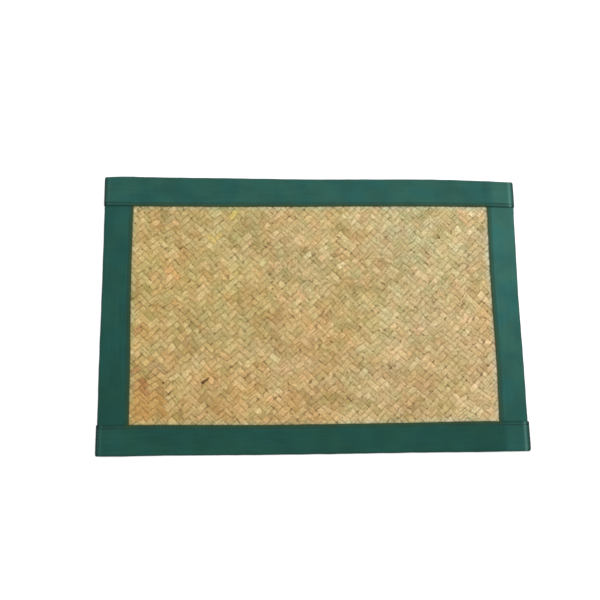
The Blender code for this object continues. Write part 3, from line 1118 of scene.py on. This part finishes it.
def cloth_material():
    """Plain-woven dyed cotton: threads both ways, soft mottling, sheen and painted sheen, and a dark olive
    hem edge of painted shade.
    """
    material, tree = new_tree("green_binding_cloth")
    along, path, from_hem = split_vector(tree, attribute(tree, "cloth_place", "Vector"))
    beside_weave, contrast = attribute(tree, "cloth_beside_weave"), attribute(tree, "cloth_contrast")
    position = own_place(tree)
    mottle = noise(tree, position, 42.0, 3.0)
    fibres = noise(tree, position, 1700.0, 2.0)
    hues = noise(tree, position, 48.0, 1.0, output="Color")
    streak_place = vector(tree, maths(tree, "MULTIPLY", along, 22.0), maths(tree, "MULTIPLY", path, 330.0))
    # Painted sheen: each strip's shine, made uneven in streaks, blends the shaded colour to the shining one
    uneven = remap(tree, noise(tree, streak_place, 1.0, 3.0), 0.3, 0.7, -0.06, 0.06)
    shine = maths(tree, "ADD", attribute(tree, "cloth_shine"), uneven)

    def threads(coordinate, pitch):
        turn = maths(tree, "MULTIPLY", coordinate, 2 * math.pi / pitch)
        return maths(tree, "MULTIPLY", maths(tree, "SINE", turn), 0.5)

    weave = maths(tree, "MULTIPLY", threads(along, CLOTH_THREADS[0]), threads(path, CLOTH_THREADS[1]))
    color = mix_color(tree, shine, CLOTH_SHADE, CLOTH_SHINE)
    bluer = remap(tree, add_node(tree, "SeparateColor", {0: hues}).outputs[1], 0.35, 0.65, 0.0, 1.0)
    color = multiply(tree, color, mix_color(tree, bluer, REDDER_CAST, BLUER_CAST))
    rough_weave = maths(tree, "ADD", weave, maths(tree, "MULTIPLY", fibres, 0.3))
    speck = remap(tree, rough_weave, -0.1, 0.4, 0.86, 1.12)
    color = multiply(tree, color, vector(tree, speck, speck, speck))
    # Painted shade along the rounded hem edge: narrow and dark at the corners, wider and olive beside the
    # weave
    hem_shade_end = remap(tree, beside_weave, 0.0, 1.0, 2.4 * MM, 5.0 * MM)
    hem_shade = remap(tree, from_hem, 0.5 * MM, hem_shade_end, 0.85, 0.0)
    color = mix_color(tree, hem_shade, color, mix_color(tree, beside_weave, SHADED_HEM_EDGE, SHADED_OLIVE_HEM_EDGE))
    # Painted shade in the stitched valley, deeper at the corners, and along the outer fold
    from_stitch = maths(tree, "ABSOLUTE", maths(tree, "SUBTRACT", from_hem, STITCH_OFFSET))
    depth = remap(tree, beside_weave, 0.0, 1.0, 0.85, 0.42)
    valley = maths(tree, "MULTIPLY", remap(tree, from_stitch, 0.35 * MM, 1.05 * MM, 1.0, 0.0), depth)
    fold_shade = remap(tree, attribute(tree, "cloth_from_fold"), 0.5 * MM, 1.8 * MM, 0.60, 0.0)
    color = mix_color(tree, maths(tree, "MAXIMUM", valley, fold_shade), color, VALLEY_AND_FOLD_SHADE)
    # Painted highlight on the end ridges; the painted shade at the folded ends darkens the colour with the
    # mottling below
    color = mix_color(tree, maths(tree, "MAXIMUM", contrast, 0.0), color, RIDGE_HIGHLIGHT)
    mottled = remap(tree, mottle, 0.3, 0.7, 0.91, 1.09)
    dimmed = maths(tree, "ADD", maths(tree, "MINIMUM", contrast, 0.0), mottled)
    color = multiply(tree, color, vector(tree, dimmed, dimmed, dimmed))
    relief = maths(tree, "ADD", weave, maths(tree, "MULTIPLY", fibres, 0.6))
    set_shader(tree, Base_Color=color, Roughness=0.72, Normal=bump(tree, 0.35, 0.10 * MM, relief),
               Specular_IOR_Level=0.20, Sheen_Weight=0.06, Sheen_Roughness=0.45,
               Sheen_Tint=(0.55, 0.85, 0.78, 1.0))
    return material


THREAD_DARK = (0.012, 0.075, 0.056, 1.0)
THREAD_LIGHT = (0.026, 0.112, 0.088, 1.0)


def thread_material():
    """Green sewing thread with its twist."""
    material, tree = new_tree("green_sewing_thread")
    inputs = {"Vector": own_place(tree), "Scale": 900.0, "Distortion": 1.0}
    twist = add_node(tree, "TexWave", inputs, bands_direction="DIAGONAL").outputs["Fac"]
    set_shader(tree, Base_Color=mix_color(tree, twist, THREAD_DARK, THREAD_LIGHT), Roughness=0.6,
               Normal=bump(tree, 0.5, 0.08 * MM, twist), Sheen_Weight=0.2)
    return material


# The object


def make_object():
    leaf, cloth, thread = leaf_material(), cloth_material(), thread_material()
    for family in (RISING, FALLING):
        weave = make_weave(family, leaf)
        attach(weave, "root")
        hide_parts("woven_panel")
    for strip in STRIPS:
        binding = make_binding(strip, cloth)
        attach(binding, "root")
        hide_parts("binding_" + strip.name)
        stitching = make_stitching(strip, thread)
        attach(stitching, "root")


# The set: a pale floor, soft light from above and from the far right, and the camera

CAMERA_PLACE = Vector((-0.0838, -0.1875, 0.9136))
CAMERA_AIM = Vector((-0.0151, 0.0132, 0.0))
CAMERA_ROLL = math.radians(18.588)
CAMERA_LENS = 52.33
SENSOR_WIDTH = 36.0
NEAREST_SEEN = 10 * MM
FLOOR_HALF = 3.0
FLOOR_DARK = (0.80, 0.80, 0.81, 1.0)
FLOOR_LIGHT = (0.84, 0.84, 0.85, 1.0)
FLOOR_GLOW = 0.45
WHITE = (1.0, 1.0, 1.0, 1.0)
WORLD_STRENGTH = 0.42
SOFTNESS = 1

Lamp = namedtuple("Lamp", "name place size power")
LAMPS = (
    Lamp("overhead_light", (-0.25, -0.10, 1.9), 1.6, 16.0),
    Lamp("far_right_light", (0.85, 0.75, 1.5), 0.9, 12.0),
)


def make_camera():
    data = bpy.data.cameras.new("camera")
    data.lens = CAMERA_LENS
    data.sensor_width = SENSOR_WIDTH
    data.clip_start = NEAREST_SEEN
    camera = bpy.data.objects.new("camera", data)
    aim = (CAMERA_AIM - CAMERA_PLACE).to_track_quat("-Z", "Y").to_matrix().to_4x4()
    camera.matrix_world = Matrix.Translation(CAMERA_PLACE) @ aim @ Matrix.Rotation(CAMERA_ROLL, 4, "Z")
    bpy.context.scene.collection.objects.link(camera)
    bpy.context.scene.camera = camera


def make_lamps():
    for lamp in LAMPS:
        data = bpy.data.lights.new(lamp.name, "AREA")
        data.shape = "DISK"
        data.size = lamp.size
        data.energy = lamp.power
        light = bpy.data.objects.new(lamp.name, data)
        light.location = lamp.place
        light.rotation_euler = (-Vector(lamp.place)).to_track_quat("-Z", "Y").to_euler()
        bpy.context.scene.collection.objects.link(light)


def make_world():
    world = bpy.data.worlds.new("soft_room")
    world.use_nodes = True
    background = world.node_tree.nodes["Background"]
    background.inputs["Color"].default_value = WHITE
    background.inputs["Strength"].default_value = WORLD_STRENGTH
    bpy.context.scene.world = world


def make_floor():
    material, tree = new_tree("pale_paper_floor")
    color = mix_color(tree, noise(tree, own_place(tree), 350.0, 3.0), FLOOR_DARK, FLOOR_LIGHT)
    set_shader(tree, Base_Color=color, Roughness=0.9, Emission_Color=WHITE, Emission_Strength=FLOOR_GLOW)
    mesh = bpy.data.meshes.new("floor")
    corners = [(FLOOR_HALF * x, FLOOR_HALF * y, 0) for x, y in ((-1, -1), (1, -1), (1, 1), (-1, 1))]
    mesh.from_pydata(corners, [], [(0, 1, 2, 3)])
    mesh.materials.append(material)
    floor = bpy.data.objects.new("floor", mesh)
    bpy.context.scene.collection.objects.link(floor)


def soften_picture():
    """The slight softness of the photo's lens."""
    scene = bpy.context.scene
    scene.use_nodes = True
    tree = scene.node_tree
    tree.nodes.clear()
    layers = tree.nodes.new("CompositorNodeRLayers")
    blur = tree.nodes.new("CompositorNodeBlur")
    blur.filter_type = "GAUSS"
    blur.size_x = blur.size_y = SOFTNESS
    result = tree.nodes.new("CompositorNodeComposite")
    tree.links.new(layers.outputs["Image"], blur.inputs["Image"])
    tree.links.new(blur.outputs["Image"], result.inputs["Image"])


make_camera()
make_object()
make_lamps()
make_world()
make_floor()
soften_picture()
bpy.context.scene.view_settings.view_transform = "Standard"
